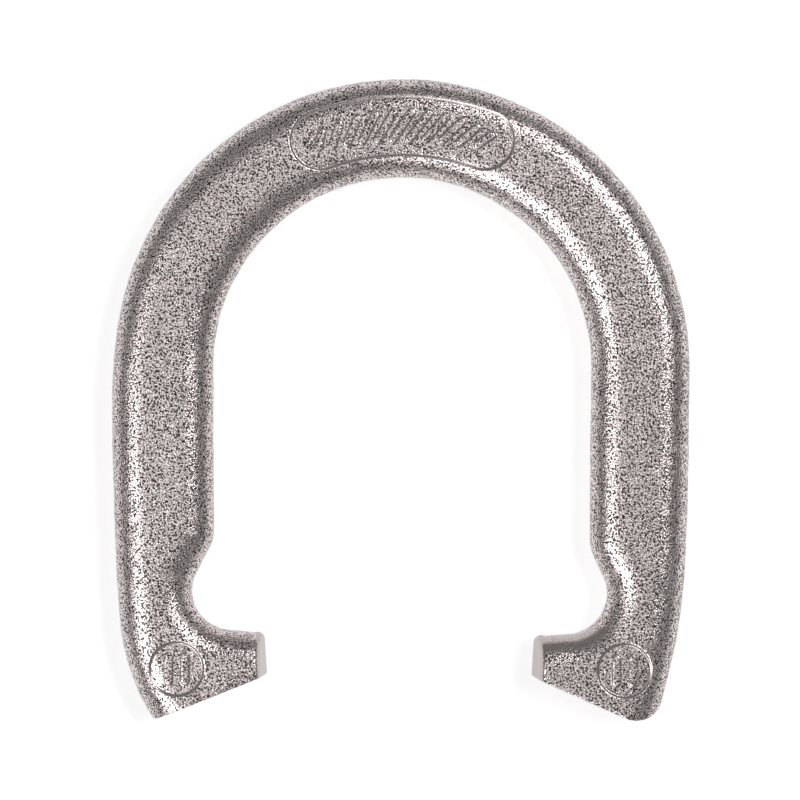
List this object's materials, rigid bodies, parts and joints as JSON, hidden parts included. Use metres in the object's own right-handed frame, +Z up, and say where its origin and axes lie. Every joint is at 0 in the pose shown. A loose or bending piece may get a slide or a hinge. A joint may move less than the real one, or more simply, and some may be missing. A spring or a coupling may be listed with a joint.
{
  "type": "pitching horseshoe",
  "caption": "U-shaped forged steel shoe with hooked heels, thrown at a stake in the game of horseshoes; it lies on calks under its toe and heels.",
  "frame": {"origin": "on the ground at the centre of the outline's box; the calk feet are at Z = 0", "axes": "+Z up through the marked face, +Y towards the toe, +X to the right with the toe away from the viewer"},
  "size_m": [0.1745, 0.1935, 0.0181],
  "materials": {
    "forged_steel": "satin",
    "silver_coat": "satin"
  },
  "bodies": {
    "root": {"forged_shoe": "forged_steel", "powder_coat": "silver_coat"}
  },
  "joints": []
}
